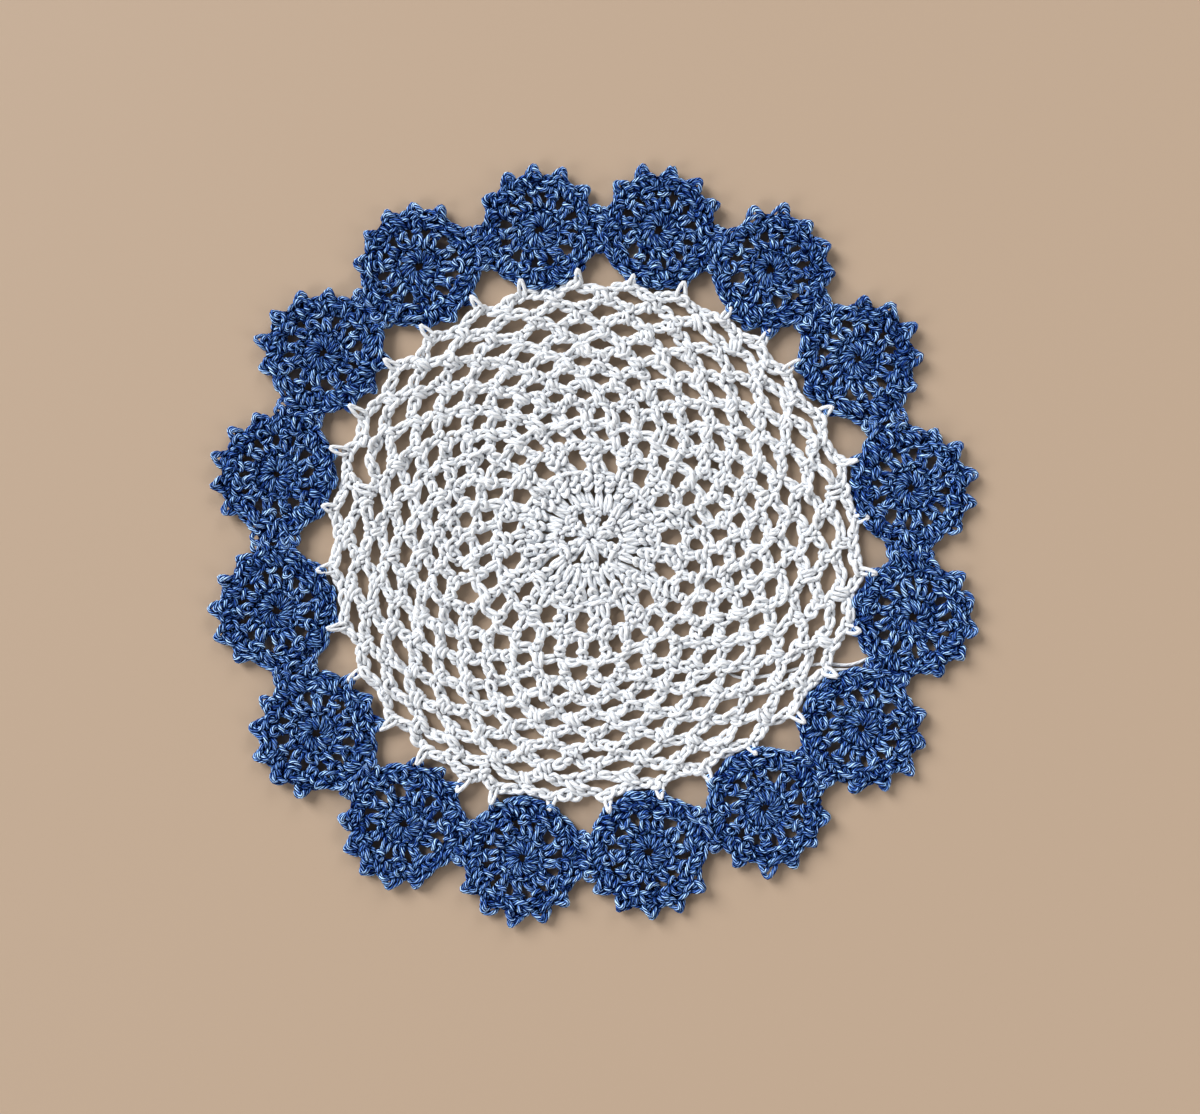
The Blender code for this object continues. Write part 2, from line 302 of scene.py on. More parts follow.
# A double crochet's post, in the same columns.
DOUBLE = (
    (-0.2, 0.15, 0, -0.8),
    (-1, 0.36, 0, 0),
    (-0.6, 0.52, 0, 1.05),
    (0.3, 0.42, 0, 1.35),
    (1.05, 0.3, 0, 0.4),
    (0.4, 0.5, 0, -0.85),
    (-0.1, 0.9, 0, -0.95),
    (-0.6, 1, 1, -0.1),
    (-0.85, 0.95, 0.1, 0.85),
    (-0.8, 0.7, 0, 0.95),
    (-0.45, 0.5, 0, 0.6),
    (0, 0.43, 0, 0.3),
    (0.5, 0.55, 0, 0.7),
    (0.8, 0.75, 0, 0.95),
    (0.75, 0.95, 0.1, 0.85),
    (0.55, 1, 1, -0.1),
    (0.2, 0.75, 0, -0.95),
    (-0.2, 0.4, 0, -0.6),
    (-0.95, 0.27, 0, 0.4),
    (-0.7, 0.08, 0, 0.9),
    (0.05, 0.02, 0, 0.4),
    (0.75, 0.1, 0, 0.85),
    (0.8, 0.24, 0, 0.4),
    (0.15, 0.2, 0, -0.8),
)
# A tall stitch of the hub, in the same columns, with the yarn twice round its upper half.
TALL = (
    (-0.2, 0.12, 0, -0.8),
    (-1.05, 0.42, 0, 0.2),
    (-0.5, 0.58, 0, 1.4),
    (0.5, 0.44, 0, 1.55),
    (1.1, 0.32, 0, 0.4),
    (0, 0.36, 0, -0.9),
    (-1.1, 0.2, 0, 0.2),
    (-0.5, 0.36, 0, 1.45),
    (0.5, 0.22, 0, 1.6),
    (1.1, 0.1, 0, 0.4),
    (0.2, 0.4, 0, -0.9),
    (-0.1, 0.9, 0, -0.95),
    (-0.6, 1, 1, -0.1),
    (-0.85, 0.95, 0.1, 0.85),
    (-0.7, 0.7, 0, 0.8),
    (0, 0.55, 0, 0.3),
    (0.7, 0.7, 0, 0.8),
    (0.8, 0.95, 0.1, 0.85),
    (0.55, 1, 1, -0.1),
    (0.2, 0.75, 0, -0.95),
    (-0.2, 0.35, 0, -0.6),
    (-0.95, 0.16, 0, 0.5),
    (-0.6, -0.02, 0, 1),
    (0.1, -0.04, 0, 0.5),
    (0.8, 0.04, 0, 0.95),
    (0.7, 0.2, 0, 0.3),
    (0.15, 0.16, 0, -0.8),
)
# A stitch of a motif's first round, in the same columns: two bars side by side.
CORE = (
    (-0.2, 0.1, 0, -0.6),
    (-0.62, 0.3, 0, 0.45),
    (-0.6, 0.65, 0, 0.9),
    (-0.45, 0.98, 0.1, 0.7),
    (-0.25, 1, 0.8, -0.1),
    (-0.1, 0.7, 0, -0.8),
    (0.1, 0.7, 0, -0.8),
    (0.25, 1, 0.8, -0.1),
    (0.45, 0.98, 0.1, 0.7),
    (0.6, 0.65, 0, 0.9),
    (0.62, 0.3, 0, 0.45),
    (0.2, 0.05, 0, -0.3),
)
# A picot's loop on the net: across, share of the way to the tip, and up.
NET_PICOT = (
    (-0.3, -0.05, 0),
    (-1.2, 0.12, 0.6),
    (-0.85, 0.55, 1.2),
    (-0.2, 1.02, 1.65),
    (0.25, 1.02, 1.6),
    (0.9, 0.52, 1.1),
    (1.2, 0.1, 0.5),
    (0.3, -0.08, -0.1),
)
# A free picot's knot on a motif, in the same columns.
MOTIF_PICOT = (
    (-2.7, -0.15, 0),
    (-2, 0.35, 0.35),
    (-1, 0.78, 0.45),
    (0, 1.14, 0.45),
    (1, 0.75, 0.4),
    (1.5, 0.25, 0),
    (0.3, -0.1, -0.7),
    (-1.1, 0, -0.3),
    (-0.9, 0.48, 0.95),
    (-0.05, 0.86, 1.1),
    (0.95, 0.48, 1),
    (2.5, -0.15, 0.3),
)
# The broad arm that meets a neighbouring motif's, in the same columns.
JOINED_PICOT = (
    (-2.1, -0.2, 0),
    (-2.55, 0.35, 0.35),
    (-2.05, 0.95, 0.5),
    (-1, 1.08, 0.75),
    (-0.55, 0.62, 0.95),
    (-1.45, 0.22, 1.05),
    (-1.1, -0.12, 0.1),
    (0.05, 0.12, -0.55),
    (0.45, 0.7, -0.1),
    (0.8, 1.08, 0.6),
    (1.85, 1, 0.65),
    (2.35, 0.5, 0.55),
    (1.45, 0.2, 0.95),
    (1.15, -0.1, 0.2),
    (2.3, -0.2, 0),
)

# -------- the materials

# A cotton's colour is the product of three ramps: across each ply, with painted shade in the
# grooves between the plies; by the streaks along the yarn, the brightest blue ones painted
# highlights; and by how deep a place lies between threads, as painted shade. Each stop is a
# place and a colour.
WHITE_COTTON = {
    "plies": 3,
    # Painted shade: the grooves between the plies are greyer and bluer than their crowns.
    "ply_colour_and_shade_stops": ((0.0, (0.56, 0.60, 0.68)), (0.25, (0.88, 0.91, 0.945)), (1.0, (0.96, 0.97, 0.985))),
    "streak_and_highlight_stops": ((0.3, (0.94, 0.96, 0.98)), (0.6, (1.0, 1.0, 1.0))),
    # Painted shade: darker the deeper a place lies between threads, nearly black where they touch.
    "painted_shade_stops": (
        (0.0, (1.0, 1.0, 1.0)),
        (0.6, (0.96, 0.97, 0.98)),
        (0.85, (0.80, 0.81, 0.83)),
        (1.0, (0.16, 0.15, 0.16)),
    ),
    "roughness": 0.85,
    "gloss": 0.12,
    "sheen": 0.1,
}
BLUE_COTTON = {
    "plies": 5,
    # Painted shade: the grooves between the plies go nearly black.
    "ply_colour_and_shade_stops": (
        (0.0, (0.0002, 0.001, 0.012)),
        (0.38, (0.0015, 0.014, 0.095)),
        (1.0, (0.15, 0.33, 0.90)),
    ),
    # The blue's heather streaks; the last stop, above 1, paints highlights on the plies' crowns.
    "streak_and_highlight_stops": ((0.39, (0.03, 0.08, 0.22)), (0.48, (0.62, 0.82, 1.0)), (0.56, (5.2, 3.5, 1.7))),
    # Painted shade: darker the deeper a place lies between threads, nearly black where they touch.
    "painted_shade_stops": (
        (0.0, (1.0, 1.0, 1.0)),
        (0.35, (0.44, 0.56, 0.75)),
        (0.8, (0.04, 0.09, 0.19)),
        (1.0, (0.001, 0.005, 0.02)),
    ),
    "roughness": 0.8,
    "gloss": 0.03,
    "sheen": 0.0,
}
SHEEN_ROUGHNESS = 0.5
# The plies turn once round the yarn in LAY. The fibres' and the streaks' noise, of this
# scale and detail, is drawn out along the yarn. Both plies and fibres stand in relief.
LAY = 7.5
LENGTHWISE = 0.15
FIBRES = (7.0, 3.0)
STREAKS = (2.2, 2.0)
PLY_ROUNDING = 0.6
FIBRE_HEIGHT = 0.6
RELIEF_STRENGTH = 0.7
RELIEF_HEIGHT = 0.25

# -------- the staging

# The camera looks down at AIM, tilted from plumb.
PIXELS_ACROSS = 1200
SENSOR = 36.0
FOCAL_PIXELS = 1400.0
MM_PER_PIXEL = 0.298
AIM = (2.4, -5.4, 1.0)
CAMERA_TILT = 1.6
NEAREST_SEEN = 10.0
# Soft lights all round, low enough that little reaches the floor through the gaps:
# name, bearing, elevation, degrees across, watts a square metre and colour.
LIGHTS = (
    ("key", 140, 34, 35, 3.55, (0.985, 0.985, 0.985)),
    ("left", 215, 30, 31, 1.05, (0.98, 0.98, 0.985)),
    ("right", 330, 30, 31, 0.62, (0.95, 0.97, 1.0)),
    ("back", 65, 30, 31, 0.85, (0.97, 0.98, 1.0)),
)
# The studio: dim above, so that the gaps are dark, and pale at the horizon. Each stop has
# the height of the way there, from 0 to 1, and the colour.
STUDIO = ((0.0, (0.52, 0.44, 0.37)), (0.12, (0.50, 0.43, 0.37)), (0.30, (0.092, 0.081, 0.071)))
FLOOR_REACH = 3000.0
FLOOR_COLOUR = (0.475, 0.35, 0.248, 1.0)
FLOOR_ROUGHNESS = 0.7


def new_object(name, data):
    thing = bpy.data.objects.new(name, data)
    bpy.context.scene.collection.objects.link(thing)
    return thing


def waves(table, bearing):
    """The sum of a table's waves at a bearing."""
    return sum(size * math.cos(math.radians(count * bearing - lag)) for count, size, lag in table)


def polar(bearing, radius):
    angle = math.radians(bearing)
    return np.array((radius * math.cos(angle), radius * math.sin(angle)))


def bearing_of(place):
    return math.degrees(math.atan2(place[1], place[0])) % FULL_TURN


def within_half_turn(bearing):
    """The bearing as degrees to either side of 0."""
    return (bearing + FULL_TURN / 2) % FULL_TURN - FULL_TURN / 2


def unit(vector):
    return vector / np.linalg.norm(vector)


def left_of(vector):
    """The vector turned a quarter counterclockwise."""
    return np.array((-vector[1], vector[0]))


def hub_radius(bearing, radius):
    return radius * (1.0 + waves(HUB_WAVES, bearing))


def start_radius(bearing):
    """The middle of the first turn's gaps."""
    return SPIRAL_RADIUS + waves(START_WAVES, bearing)


def rim_radius(bearing):
    """The middle of the last turn's gaps."""
    return RIM_LOOP_RADIUS + waves(RIM_WAVES, bearing)


def turns_at_rim(bearing):
    """How many turns the spiral has made at the rim, with the step at the seam eased."""
    past_seam = within_half_turn(bearing - SEAM)
    if abs(past_seam) < SEAM_EASE:
        return TURNS_TO_SEAM + 0.5 + 0.5 * past_seam / SEAM_EASE
    return TURNS_TO_SEAM + ((SEAM - bearing) % FULL_TURN) / FULL_TURN


def turn_spacing(bearing):
    """How far apart the spiral's turns lie."""
    width = rim_radius(bearing) - start_radius(bearing)
    return width / (turns_at_rim(bearing) - LEVEL_TURNS)


def spiral_radius(bearing, turns):
    """The radius of the middle of the gaps after so many turns."""
    rising = max(turns - LEVEL_TURNS, 0.0)
    return start_radius(bearing) + rising * turn_spacing(bearing)


def arc_radius(bearing, turns, share):
    """The radius of the chain outside the gaps: share is 0 at a post and 1 in the middle."""
    middle = spiral_radius(bearing, turns) + turn_spacing(bearing) / 2
    return middle + ARCH * (2 * share - 1)


def motif_centre(motif):
    return polar(motif.bearing, motif.distance)


def net_join(motif, picot):
    """Where a motif meets a picot of the net, and the way from the net to the motif."""
    centre = motif_centre(motif)
    off = math.radians(picot - motif.bearing)
    sideways = motif.distance * math.sin(off)
    inward = math.sqrt(max(JOIN_REACH**2 - sideways**2, 0.0))
    reach = motif.distance * math.cos(off) - inward
    rim = rim_radius(picot)
    place = polar(picot, min(max(reach, rim + JOIN_NEAREST), rim + JOIN_FARTHEST))
    return place, unit(unit(centre - place) + unit(place))


# -------- the stitches


class Path:
    """A way in the plane through a list of places, read by the length along it."""

    def __init__(self, places):
        self.places = np.array(places)
        steps = np.linalg.norm(np.diff(self.places, axis=0), axis=1)
        self.marks = np.concatenate([[0.0], np.cumsum(steps)])
        self.length = self.marks[-1]

    def place(self, length):
        if length < 0.0:
            return self.places[0] + unit(self.places[1] - self.places[0]) * length
        if length > self.length:
            past = length - self.length
            return self.places[-1] + unit(self.places[-1] - self.places[-2]) * past
        return np.array([np.interp(length, self.marks, self.places[:, k]) for k in (0, 1)])

    def along(self, length):
        return unit(self.place(length + 0.5) - self.place(length - 0.5))


class Strand:
    """A length of yarn: the points that its middle line is led through, and its radius there."""

    def __init__(self, seed, level, radius, wander, origin=(0.0, 0.0)):
        self.points = []
        self.random = random.Random(seed)
        self.level = level
        self.radius = radius
        self.origin = origin
        self.shift = [0.0, 0.0, 0.0]
        self.let_wander(wander)

    def let_wander(self, wander):
        """Sets how far the yarn strays from its places, which it does smoothly."""
        self.wander = wander * math.sqrt(1.0 - WANDER_KEPT**2)

    def lead(self, place, up):
        """Leads the yarn to a place, but for a little that it has wandered."""
        self.shift = [WANDER_KEPT * s + self.random.gauss(0.0, self.wander) for s in self.shift]
        x, y, z = self.shift
        x += place[0] + self.origin[0]
        y += place[1] + self.origin[1]
        self.points.append((x, y, self.level + up + z, self.radius))

    def loop(self, path, start, end, half_width):
        """One chain stitch along a path."""
        pitch = end - start
        lean = self.random.gauss(0.0, LOOP_LEAN)
        tilt = self.random.gauss(0.0, LOOP_TILT)
        wide = half_width * self.random.uniform(*LOOP_WIDTHS)
        for along, across, up in CHAIN_LOOP:
            length = start + along * pitch
            side = left_of(path.along(length))
            self.lead(path.place(length) + side * (across + lean) * wide, up + tilt * across)

    def post(self, top, base, table, wrap, flare):
        """A stitch's post from the row at its top round what it holds at its base, and back.

        flare holds how wide it is at its top and at its base."""
        down = unit(base - top)
        reach = np.linalg.norm(base - top)
        along = left_of(down)
        twist = self.random.gauss(*POST_TWIST)
        lean = self.random.gauss(*POST_LEAN)
        at_top = flare[0] * self.random.uniform(*TOP_WIDTHS)
        at_base = flare[1] * self.random.uniform(*BASE_WIDTHS)
        for across, share, past, up in table:
            across *= at_top + (at_base - at_top) * share
            across += twist * up + lean * (share - 0.5)
            place = top + down * (share * reach + past * wrap) + along * across
            self.lead(place, up)

    def picot(self, foot, tip, table):
        """A picot's loops from its foot in the row out to its tip."""
        way = unit(tip - foot)
        reach = np.linalg.norm(tip - foot)
        for across, share, up in table:
            self.lead(foot + way * share * reach - left_of(way) * across, up)

    def row(self, path, necks, extras, half_width=CHAIN_HALF_WIDTH):
        """Chain stitches between the necks, with what else is worked at them."""
        for number in range(len(necks) - 1):
            works = extras.get(number, ())
            for work in works:
                work(path.place(necks[number]))
            wide = half_width * KNOT_WIDTH if works else half_width
            self.loop(path, necks[number], necks[number + 1], wide)

    def stitch(self, base, table, wrap, flare=PLAIN_FLARE):
        """The work of a post down to its base."""
        return lambda top: self.post(top, base, table, wrap, flare)

    def net_post(self, base):
        """The work of a post of the net, with the yarn once more round it if it is long."""

        def work(top):
            table = DOUBLE if np.linalg.norm(base - top) > LONG_POST else SINGLE
            self.post(top, base, table, WRAP_SPACE, NET_FLARE)

        return work


def ring_path(radius_at, start):
    """A way clockwise round the middle, whose radius may change with the bearing."""
    bearings = [start - FULL_TURN * step / RING_STEPS for step in range(RING_STEPS + 1)]
    return Path([polar(bearing, radius_at(bearing)) for bearing in bearings])


def spread(length, pitch=CHAIN_PITCH, fewest=1):
    """The necks of chain stitches spread evenly over a length."""
    count = max(round(length / pitch), fewest)
    return [length * step / count for step in range(count + 1)]


def round_of(strand, radius_at, works, chain):
    """A closed round. works holds the bearing of each thing worked, clockwise, and the work.

    chain holds the pitch of the chain stitches between them and half their width."""
    pitch, half_width = chain
    start = works[0][0]
    path = ring_path(radius_at, start)
    per_degree = path.length / FULL_TURN
    places = [((start - bearing) % FULL_TURN) * per_degree for bearing, _ in works]
    places.append(path.length)
    necks = []
    extras = {}
    for number, (_, work) in enumerate(works):
        extras[len(necks)] = [work]
        width = places[number + 1] - places[number]
        necks += [places[number] + neck for neck in spread(width, pitch)[:-1]]
    necks.append(path.length)
    strand.row(path, necks, extras, half_width)


# -------- the white net


def petal_ring(bearing):
    """The petals' top, which swings out over the spaces between them."""
    swing = math.cos(math.radians(PETALS * (bearing - PETAL_BEARING)))
    middle = (PETAL_RING + PETAL_SPACE_RING) / 2
    return hub_radius(bearing, middle - swing * (PETAL_SPACE_RING - PETAL_RING) / 2)


def pulled(bearing):
    """The bearing to which the net pulls a stitch of the hub's outer rounds."""
    return bearing + waves(HUB_BEARING_WAVES, bearing)


def scallops(bearing):
    """1 where a post of the windows' round stands, and -1 midway between two."""
    even = bearing - waves(HUB_BEARING_WAVES, bearing)
    return math.cos(math.radians(WINDOWS * (even - WINDOW_POST_BEARING)))


def group_ring(bearing):
    return hub_radius(bearing, GROUP_RING + GROUP_ARCH * scallops(bearing))


def window_ring(bearing):
    return hub_radius(bearing, WINDOW_RING - WINDOW_ARCH * scallops(bearing))


def hub_strand():
    """The petals, the fans, the groups of two and the windows, one round after another."""
    strand = Strand(HUB_SEED, NET_LEVEL, WHITE_RADIUS, HUB_WANDER)
    works = []
    for petal in range(PETALS):
        bearing = PETAL_BEARING - petal * FULL_TURN / PETALS
        for side in (1, -1):
            at = bearing + side * PETAL_SPREAD
            works.append((at, strand.stitch(polar(at, PETAL_BASE), DOUBLE, PETAL_WRAP)))
    round_of(strand, petal_ring, works, PETAL_CHAIN)

    works = []
    for fan in range(PETALS):
        middle = PETAL_BEARING - (fan + 0.5) * FULL_TURN / PETALS
        for step in range(FAN_STITCHES):
            off = (FAN_STITCHES - 1) / 2 - step
            base = polar(middle + off * FAN_BASE_SPREAD, petal_ring(middle))
            work = strand.stitch(base, TALL, WRAP_SPACE, FAN_FLARE)
            works.append((middle + off * FAN_SPREAD, work))
    round_of(strand, lambda b: hub_radius(b, FAN_RING), works, FAN_CHAIN)

    works = []
    for group in range(GROUPS):
        middle = pulled(GROUP_BEARING - group * FULL_TURN / GROUPS)
        for side in (1, -1):
            base = polar(middle + side * GROUP_BASE_SPREAD, hub_radius(middle, FAN_RING))
            work = strand.stitch(base, TALL, WRAP_STITCH, GROUP_FLARE)
            works.append((middle + side * GROUP_SPREAD, work))
    round_of(strand, group_ring, works, GROUP_CHAIN)

    works = []
    for post in range(WINDOWS):
        bearing = pulled(WINDOW_POST_BEARING - post * FULL_TURN / WINDOWS)
        base = polar(bearing, group_ring(bearing))
        works.append((bearing, strand.stitch(base, DOUBLE, WRAP_SPACE)))
    round_of(strand, window_ring, works, WINDOW_CHAIN)
    return strand


def spiral_loops():
    """The loops of the spiral's turns but the last: (bearing, turns) of each gap's middle."""
    loops = []
    wound = FIRST_LOOP
    while wound < TURNS_TO_SEAM * FULL_TURN:
        bearing = SPIRAL_START - wound
        loops.append((bearing + waves(BEARING_WAVES, bearing), wound / FULL_TURN))
        wound += LOOP_PITCH
    return loops


def rim_posts():
    """The last turn's loops, clockwise from the seam: start, picot's bearing, motif and end."""
    picots = sorted((picot, motif) for motif in MOTIFS for picot in motif.picots)
    posts = []
    for number, (picot, motif) in enumerate(picots):
        before = picots[(number + 1) % len(picots)][0]
        first = picot + ((before - picot) % FULL_TURN) / 2
        last = picot - ((picot - picots[number - 1][0]) % FULL_TURN) / 2
        start = polar(first, rim_radius(first) + RIM_VALLEY)
        end = polar(last, rim_radius(last) + RIM_VALLEY)
        posts.append((start, picot, motif, end))
    return sorted(posts, key=lambda post: -((post[1] - SEAM) % FULL_TURN))


def arc_path(start, middle, end):
    """The arched way of a loop's chain through three places."""
    places = []
    for step in range(ARCH_STEPS + 1):
        share = step / ARCH_STEPS
        bulge = 1.0 - abs(2 * share - 1) ** ARCH_SHAPE
        chord = start + (end - start) * share
        places.append(chord + (middle - (start + end) / 2) * bulge)
    return Path(places)


def spiral_strand():
    """The spiral's turns but the last, and the places along its last of those."""
    strand = Strand(SPIRAL_SEED, NET_LEVEL, WHITE_RADIUS, NET_WANDER)
    loops = spiral_loops()
    half = LOOP_PITCH / 2 / FULL_TURN
    bearings = [loops[0][0] + LOOP_PITCH, *(loop[0] for loop in loops), loops[-1][0] - LOOP_PITCH]
    middles = []
    last_turn = []
    for number, (bearing, turns) in enumerate(loops):
        at_end = number == len(loops) - 1
        first = (bearings[number] + bearing) / 2
        last = (bearing + bearings[number + 2]) / 2
        start = polar(first, arc_radius(first, turns - half, 0.0))
        end = rim_posts()[0][0] if at_end else polar(last, arc_radius(last, turns + half, 0.0))
        middle = polar(bearing, arc_radius(bearing, turns, 1.0))
        if number < LOOPS_BACK:
            base = polar(first, window_ring(first))
        else:
            base = middles[number - LOOPS_BACK]
        path = arc_path(start, middle, end)
        chains = spread(path.length - KNOT_LENGTH, fewest=FEWEST_CHAINS)
        necks = [0.0] + [KNOT_LENGTH + neck for neck in chains]
        half_width = np.interp(turns, (0.0, WHOLE_TURNS), SPIRAL_HALF_WIDTHS)
        strand.row(path, necks, {0: [strand.net_post(base)]}, half_width)
        middles.append(middle)
        if number > len(loops) - LOOPS_BACK - 2 and not at_end:
            last_turn += list(path.places)
    return strand, last_turn


def rim_strand(last_turn):
    """The spiral's last turn, with its picots, worked into the chain of the turn before."""
    strand = Strand(RIM_SEED, NET_LEVEL, WHITE_RADIUS, NET_WANDER)
    for start, picot, motif, end in rim_posts():
        foot = polar(picot, rim_radius(picot) + RIM_PEAK)
        base = min(last_turn, key=lambda place: np.linalg.norm(place - start))
        join, way = net_join(motif, picot)
        tip = join + way * NET_TIP_PAST
        climb = Path([start, (start + foot) / 2, foot])
        fall = Path([foot, (foot + end) / 2, end])
        strand.row(climb, spread(climb.length), {0: [strand.net_post(base)]})
        strand.radius = NET_PICOT_RADIUS
        strand.picot(foot - way * NET_PICOT_DEPTH, tip, NET_PICOT)
        strand.radius = WHITE_RADIUS
        strand.row(fall, spread(fall.length), {})
    return strand


def tail_strands():
    """The loose end that shows, under the net."""
    strands = []
    for number, places in enumerate(TAILS):
        strand = Strand(TAIL_SEED + number, TAIL_LEVEL, TAIL_RADIUS, TAIL_WANDER)
        for place in places:
            strand.lead(np.array(place), 0.0)
        strands.append(strand)
    return strands


# -------- the blue motifs


def neighbour_tips(number, neighbour):
    """The tips of a motif's two picots that meet those of a neighbour, the outer one first."""
    centre = motif_centre(MOTIFS[number])
    span = motif_centre(MOTIFS[neighbour % len(MOTIFS)]) - centre
    outward = left_of(unit(span))
    if outward @ centre < 0:
        outward = -outward
    return [centre + span / 2 + outward * place for place in MOTIF_JOINS]


def motif_tips(number):
    """A motif's twelve picot tips, counterclockwise from the first past its free ones."""
    motif = MOTIFS[number]
    centre = motif_centre(motif)
    uneven = random.Random(PICOT_SEED + number)
    after = neighbour_tips(number, number + 1)
    before = neighbour_tips(number, number - 1)
    net_tips = []
    for picot in motif.picots:
        join, way = net_join(motif, picot)
        net_tips.append(join - way * MOTIF_TIP_PAST)
    middle = sum(motif.picots) / 2
    facing = polar(middle, rim_radius(middle) + INNER_TIP_SPACE) - centre
    inner_tip = centre + unit(facing) * min(np.linalg.norm(facing), MOTIF_TIP)
    free_tips = []
    for step in FREE_PICOTS:
        reach = MOTIF_TIP + uneven.uniform(-REACH_UNEVENNESS, REACH_UNEVENNESS)
        bearing = motif.bearing + motif.turn + step * FREE_PICOT_PITCH
        free_tips.append(centre + polar(bearing, reach))
    return after + [net_tips[1], inner_tip, net_tips[0]] + before[::-1] + free_tips


def evened(bearings):
    """Bearings, clockwise, most of the way to even spacing."""
    step = FULL_TURN / len(bearings)
    offs = [(bearings[0] - bearing) % FULL_TURN - n * step for n, bearing in enumerate(bearings)]
    middle = sum(offs) / len(offs)
    kept = [middle + (off - middle) * UNEVENNESS_KEPT for off in offs]
    return [bearings[0] - n * step - off for n, off in enumerate(kept)]


def drawn_out(number, bearing):
    """How much farther than usual a motif's edge has to reach towards a neighbour."""
    centre = motif_centre(MOTIFS[number])
    farther = 0.0
    for neighbour in (number - 1, number + 1):
        span = motif_centre(MOTIFS[neighbour % len(MOTIFS)]) - centre
        off = within_half_turn(bearing - bearing_of(span))
        if abs(off) < DRAWN_WIDTH:
            share = math.cos(math.radians(off * 90.0 / DRAWN_WIDTH)) ** 2
            farther += (np.linalg.norm(span) / 2 - DRAWN_FROM) * share
    return farther


def column_ring(number, bearing):
    return MOTIF_OUTER_RING + DRAWN_COLUMNS * drawn_out(number, bearing)


def edge_ring(number, picots, bearing):
    """The radius of a motif's edge, which dips in between some of its picots' bearings."""
    ring = MOTIF_EDGE_RING + DRAWN_EDGE * drawn_out(number, bearing)
    for place in SCALLOPED:
        wide = (picots[place] - picots[place + 1]) % FULL_TURN
        past = (picots[place] - bearing) % FULL_TURN
        if past < wide:
            ring -= MOTIF_SCALLOP * math.sin(math.pi * past / wide) ** 2
    return ring


def motif_strand(number):
    """A motif's three rounds, the first of them pulled thin."""
    centre = motif_centre(MOTIFS[number])
    strand = Strand(MOTIF_SEED + number, MOTIF_LEVEL, BLUE_RADIUS, MOTIF_CORE_WANDER, centre)
    tips = [tip - centre for tip in motif_tips(number)[::-1]]
    bearings = [bearing_of(tip) for tip in tips]
    columns = evened(bearings)

    strand.radius = CORE_RADIUS
    works = []
    for bearing in columns:
        base = polar(bearing, MOTIF_BASE)
        works.append((bearing, strand.stitch(base, CORE, CORE_WRAP, CORE_FLARE)))
    round_of(strand, lambda b: MOTIF_INNER_RING, works, CORE_CHAIN)

    strand.radius = BLUE_RADIUS
    strand.let_wander(MOTIF_WANDER)
    works = []
    for bearing in columns:
        base = polar(bearing, MOTIF_INNER_RING)
        works.append((bearing, strand.stitch(base, DOUBLE, WRAP_STITCH, COLUMN_FLARE)))
    round_of(strand, lambda b: column_ring(number, b), works, COLUMN_CHAIN)

    works = []
    for place, (bearing, tip) in enumerate(zip(bearings, tips)):
        after = bearings[(place + 1) % len(bearings)]
        between = bearing - ((bearing - after) % FULL_TURN) / 2
        works.append((bearing, picot_work(strand, tip, place in JOINED)))
        for off in MOTIF_EDGE_STITCHES:
            at = between + off * EDGE_BASE_SHARE
            base = polar(at, column_ring(number, at))
            works.append((between + off, strand.stitch(base, SINGLE, EDGE_WRAP)))
    round_of(strand, lambda b: edge_ring(number, bearings, b), works, EDGE_CHAIN)
    return strand


def picot_work(strand, tip, joined):
    """The work of a motif's picot: an arm out to a neighbour's, or a free knot."""
    past = JOIN_OVERLAP if joined else 0.0
    table = JOINED_PICOT if joined else MOTIF_PICOT
    peak = tip + unit(tip) * (past - BLUE_RADIUS)
    return lambda foot: strand.picot(foot, peak, table)


# -------- yarn into meshes


def centreline(points):
    """A cubic B-spline along a strand's points, with more places where it bends.

    Like theirs, the last of each place's numbers is the radius."""
    points = np.array(points)
    control = points.copy()
    control[1:-1] += (2 * points[1:-1] - points[:-2] - points[2:]) / 6 * DRAWN_TO_POINTS
    control = np.concatenate([control[:1], control, control[-1:]])
    share = (np.arange(SAMPLES) / SAMPLES)[None, :, None]
    a, b, c, d = (control[k : len(control) - 3 + k][:, None, :] for k in range(4))
    fine = (
        a * (1 - share) ** 3
        + b * (3 * share**3 - 6 * share**2 + 4)
        + c * (-3 * share**3 + 3 * share**2 + 3 * share + 1)
        + d * share**3
    ) / 6
    fine = fine.reshape(-1, 4)
    step = np.diff(fine[:, :3], axis=0)
    length = np.linalg.norm(step, axis=1)
    way = step / length[:, None]
    turn = np.degrees(np.arccos(np.clip((way[1:] * way[:-1]).sum(axis=1), -1.0, 1.0)))
    cost = length / SEGMENT
    cost[1:] += turn / SEGMENT_TURN
    marks = np.concatenate([[0.0], np.cumsum(cost)])
    wanted = np.linspace(0.0, marks[-1], int(marks[-1]) + 1)
    return np.stack([np.interp(wanted, marks, fine[:, k]) for k in range(4)], axis=1)


def tree_of(places):
    tree = KDTree(len(places))
    for number, place in enumerate(places):
        tree.insert(place, number)
    tree.balance()
    return tree


def thread_numbers(lines):
    """The number of the thread that each place of the lines is on."""
    return np.repeat(np.arange(len(lines)), [len(line) for line in lines])


